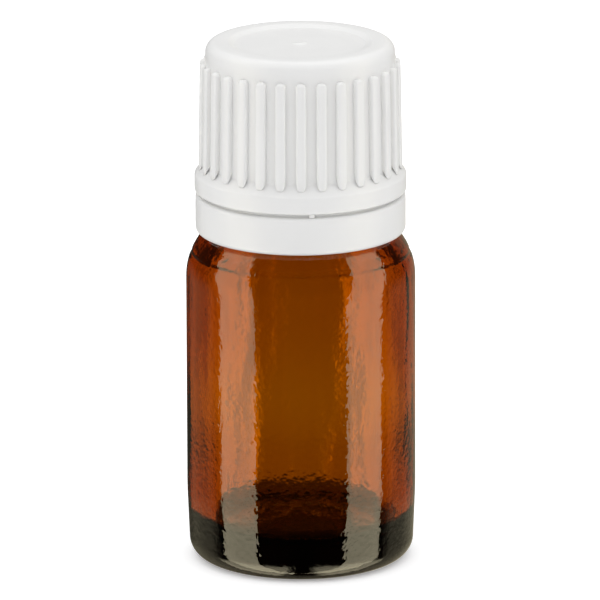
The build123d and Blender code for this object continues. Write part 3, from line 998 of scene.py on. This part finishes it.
class VIAL_OT_stage(bpy.types.Operator):
    """Lay the pale floor, hang the soft light and set up the camera"""

    bl_idname = "vial.stage"
    bl_label = "Stage"

    def lay_disc(self, name, radius, height, material):
        """A flat disc of the stage."""
        bm = bmesh.new()
        bmesh.ops.create_circle(bm, cap_ends=True, segments=96, radius=radius)
        bmesh.ops.translate(bm, verts=bm.verts, vec=(0, 0, height))
        return place_mesh(name, bm, material)

    def lay_floor(self, context):
        """A pale floor that the light sees through from the sides, as a lit studio table is."""
        material, tree, shader, _ = new_material("pale_floor")
        white = (*context.scene.vial_finish.floor_white, 1.0)
        set_inputs(shader, Base_Color=white, Roughness=0.7, Specular_IOR_Level=0.0, Emission_Color=WHITE)
        seen = place_node(tree, "ShaderNodeLightPath", "who looks").outputs["Is Camera Ray"]
        tree.links.new(multiply(tree, seen, FLOOR_GLOW), shader.inputs["Emission Strength"])
        floor = self.lay_disc("studio_floor", FLOOR_RADIUS, 0, material)
        floor.visible_glossy = False
        floor.visible_transmission = False

    def lay_shade(self):
        """Painted shade: a black disc under the foot that stands in for the vial's own shadow, met only by
        the light inside the glass.
        """
        material, _, shader, _ = new_material("foot shade")
        # black colour: painted shadow under the foot, which darkens the base seen through the glass
        set_inputs(shader, Base_Color=(0.0, 0.0, 0.0, 1.0), Roughness=1.0, Specular_IOR_Level=0.0)
        shade = self.lay_disc("painted_foot_shade", GLASS_HIGH.x + 1.5 * MM, -0.05 * MM, material)
        shade.visible_camera = False
        shade.visible_diffuse = False
        shade.visible_glossy = False
        shade.visible_shadow = False

    def panel_ramp(self, tree, label, turn, stops):
        """Brightness by the turn round the vial."""
        node = place_node(tree, "ShaderNodeValToRGB", label, [(0, turn)])
        ramp = node.color_ramp
        ramp.elements.remove(ramp.elements[1])
        for index, (place, value) in enumerate(stops):
            stop = ramp.elements[0] if index == 0 else ramp.elements.new(place)
            stop.position = place
            stop.color = (value, value, value, 1.0)
        return node.outputs[0]

    def turn_from(self, tree, aside, front):
        """How far round the vial a direction lies: 0 beside the camera, 1 straight behind."""
        return calculate(tree, "DIVIDE", calculate(tree, "ARCTAN2", aside, front), math.pi)

    def reflected_light(self, tree, right, rise, front, turn, leaning_turn):
        """What mirrors in the glass: two upright panels, the table's edge and a sheen at the sides."""
        aside = calculate(tree, "ABSOLUTE", right)
        table = multiply(
            tree,
            remap(tree, rise, -0.62, -0.42, 1.0, 0.0),
            remap(tree, aside, 0.1, 0.25, 0.0, 1.0),
            remap(tree, front, -0.25, -0.1, 0.0, 1.0),
        )
        edge = multiply(
            tree, remap(tree, right, 0.0, 0.1, 0.0, 1.0), remap(tree, front, -0.95, -0.55, 1.0, 0.0), 0.09
        )
        sheen = multiply(
            tree,
            remap(tree, turn, 0.5, 0.6, 0.0, 0.06),
            remap(tree, rise, -0.24, 0.0, 1.0, 0.05),
            remap(tree, turn, 0.75, 0.88, 1.0, 0.2),
        )
        low_sheen = multiply(
            tree, remap(tree, turn, 0.5, 0.6, 0.0, 0.06), remap(tree, rise, -0.36, -0.27, 1.0, 0.0)
        )
        panels = self.panel_ramp(tree, "panels in reflections", leaning_turn, PANELS_IN_REFLECTIONS)
        panels = multiply(tree, panels, remap(tree, rise, 0.8, 0.95, 1.0, 0.1))
        panels = calculate(tree, "ADD", panels, sheen)
        panels = calculate(tree, "MULTIPLY_ADD", panels, remap(tree, rise, -0.38, -0.28, 1.3, 1.0), low_sheen)
        light = calculate(tree, "ADD", calculate(tree, "MULTIPLY_ADD", table, 0.8, edge), panels)
        warm = place_node(
            tree, "ShaderNodeVectorMath", "warm panels", [(0, light), (1, WARM_PANELS)], operation="MULTIPLY"
        )
        return warm.outputs[0]

    def backdrop_light(self, tree, rise, leaning_turn):
        """What shows through the glass: a sweep behind that darkens upwards and towards the floor."""
        sweep = self.panel_ramp(tree, "panels through the glass", leaning_turn, PANELS_THROUGH_GLASS)
        below = remap(tree, rise, -0.5, -0.32, 0.2, 1.0)
        above = remap(tree, rise, 0.0, 0.2, 1.0, 0.12)
        return multiply(tree, sweep, below, above)

    def fill_light(self, tree, rise, front, turn):
        """The soft light that falls on the plastic, strongest from overhead."""
        overhead = multiply(
            tree, remap(tree, rise, 0.35, 0.85, 0.0, 0.9), remap(tree, front, -0.5, 0.4, 1.0, 0.95)
        )
        return calculate(tree, "ADD", overhead, remap(tree, turn, 0.2, 0.4, 0.54, 0.69))

    def hang_light(self, context):
        """A soft studio round the vial, with its own brightness for each kind of ray."""
        world = bpy.data.worlds.new("studio")
        context.scene.world = world
        world.use_nodes = True
        tree = world.node_tree
        tree.nodes.clear()
        direction = place_node(tree, "ShaderNodeTexCoord", "direction").outputs["Generated"]
        axes = place_node(tree, "ShaderNodeSeparateXYZ", "axes", [(0, direction)]).outputs
        right, rise = axes["X"], axes["Z"]
        front = multiply(tree, axes["Y"], -1.0)
        aside = calculate(tree, "ABSOLUTE", right)
        turn = self.turn_from(tree, aside, front)
        # the panels lean back: their edges move outwards as they rise
        above_look = calculate(tree, "ADD", rise, LOOK_DOWN)
        leaning_front = calculate(tree, "MULTIPLY_ADD", above_look, PANEL_LEAN, front)
        leaning_turn = self.turn_from(tree, aside, leaning_front)

        def glow(label, colour, strength):
            inputs = [("Color", colour), ("Strength", strength)]
            return place_node(tree, "ShaderNodeBackground", label, inputs)

        reflected = self.reflected_light(tree, right, rise, front, turn, leaning_turn)
        mirrored = glow("in reflections", reflected, PANEL_STRENGTH)
        sweep = self.backdrop_light(tree, rise, leaning_turn)
        through = glow("through the glass", sweep, BACKDROP_STRENGTH)
        plain = glow("plain backdrop", WHITE, 1.0)
        light = glow("soft fill", self.fill_light(tree, rise, front, turn), 1.0)
        rays = place_node(tree, "ShaderNodeLightPath", "who looks").outputs
        for label, ray, other in (
            ("mirrored", "Is Glossy Ray", mirrored),
            ("transmitted", "Is Transmission Ray", through),
            ("straight", "Is Camera Ray", plain),
        ):
            inputs = [(0, rays[ray]), (1, light.outputs[0]), (2, other.outputs[0])]
            light = place_node(tree, "ShaderNodeMixShader", label, inputs)
        place_node(tree, "ShaderNodeOutputWorld", "world", [("Surface", light.outputs[0])])

    def set_camera(self, context):
        """A long lens, looking down a little at the middle of the vial."""
        data = bpy.data.cameras.new("camera")
        data.lens = CAMERA_LENS
        data.sensor_width = 36.0
        data.clip_start = 0.05
        camera = bpy.data.objects.new("camera", data)
        context.scene.collection.objects.link(camera)
        back = Vector((0, -math.cos(CAMERA_ELEVATION), math.sin(CAMERA_ELEVATION)))
        aimed = (-back).to_track_quat("-Z", "Y").to_matrix() @ Matrix.Rotation(CAMERA_ROLL, 3, "Z")
        camera.matrix_world = Matrix.Translation(CAMERA_AIM + back * CAMERA_DISTANCE) @ aimed.to_4x4()
        context.scene.camera = camera

    def execute(self, context):
        self.lay_floor(context)
        self.lay_shade()
        self.hang_light(context)
        self.set_camera(context)
        context.scene.view_settings.view_transform = "Standard"
        context.scene.cycles.max_bounces = 24
        context.scene.cycles.transmission_bounces = 24
        return {"FINISHED"}


class VIAL_PT_panel(bpy.types.Panel):
    """Sidebar panel that lists the vial's pieces"""

    bl_idname = "VIAL_PT_panel"
    bl_label = "Dropper vial"
    bl_space_type = "VIEW_3D"
    bl_region_type = "UI"
    bl_category = "Vial"

    def draw(self, context):
        for operator in OPERATORS:
            self.layout.operator(operator.bl_idname)
        for group in (context.scene.vial_glass, context.scene.vial_cap, context.scene.vial_finish):
            box = self.layout.box()
            for name in group.bl_rna.properties.keys():
                if name not in {"rna_type", "name"}:
                    box.prop(group, name)


OPERATORS = (
    VIAL_OT_stage,
    VIAL_OT_glass,
    VIAL_OT_dropper_insert,
    VIAL_OT_cap_liner,
    VIAL_OT_screw_cap,
    VIAL_OT_tamper_ring,
    VIAL_OT_tamper_bridges,
)
CLASSES = (VialGlassSizes, VialCapSizes, VialFinish, *OPERATORS, VIAL_PT_panel)


def register():
    """Registers the sizes, the operators and the panel."""
    for item in CLASSES:
        bpy.utils.register_class(item)
    bpy.types.Scene.vial_glass = PointerProperty(type=VialGlassSizes)
    bpy.types.Scene.vial_cap = PointerProperty(type=VialCapSizes)
    bpy.types.Scene.vial_finish = PointerProperty(type=VialFinish)


def unregister():
    """Takes away what register added."""
    del bpy.types.Scene.vial_finish
    del bpy.types.Scene.vial_cap
    del bpy.types.Scene.vial_glass
    for item in reversed(CLASSES):
        bpy.utils.unregister_class(item)


def main():
    """Builds the stage and every piece."""
    register()
    bpy.ops.vial.stage()
    bpy.ops.vial.glass()
    bpy.ops.vial.dropper_insert()
    bpy.ops.vial.cap_liner()
    bpy.ops.vial.screw_cap()
    bpy.ops.vial.tamper_ring()
    bpy.ops.vial.tamper_bridges()


if __name__ == "__main__":
    main()
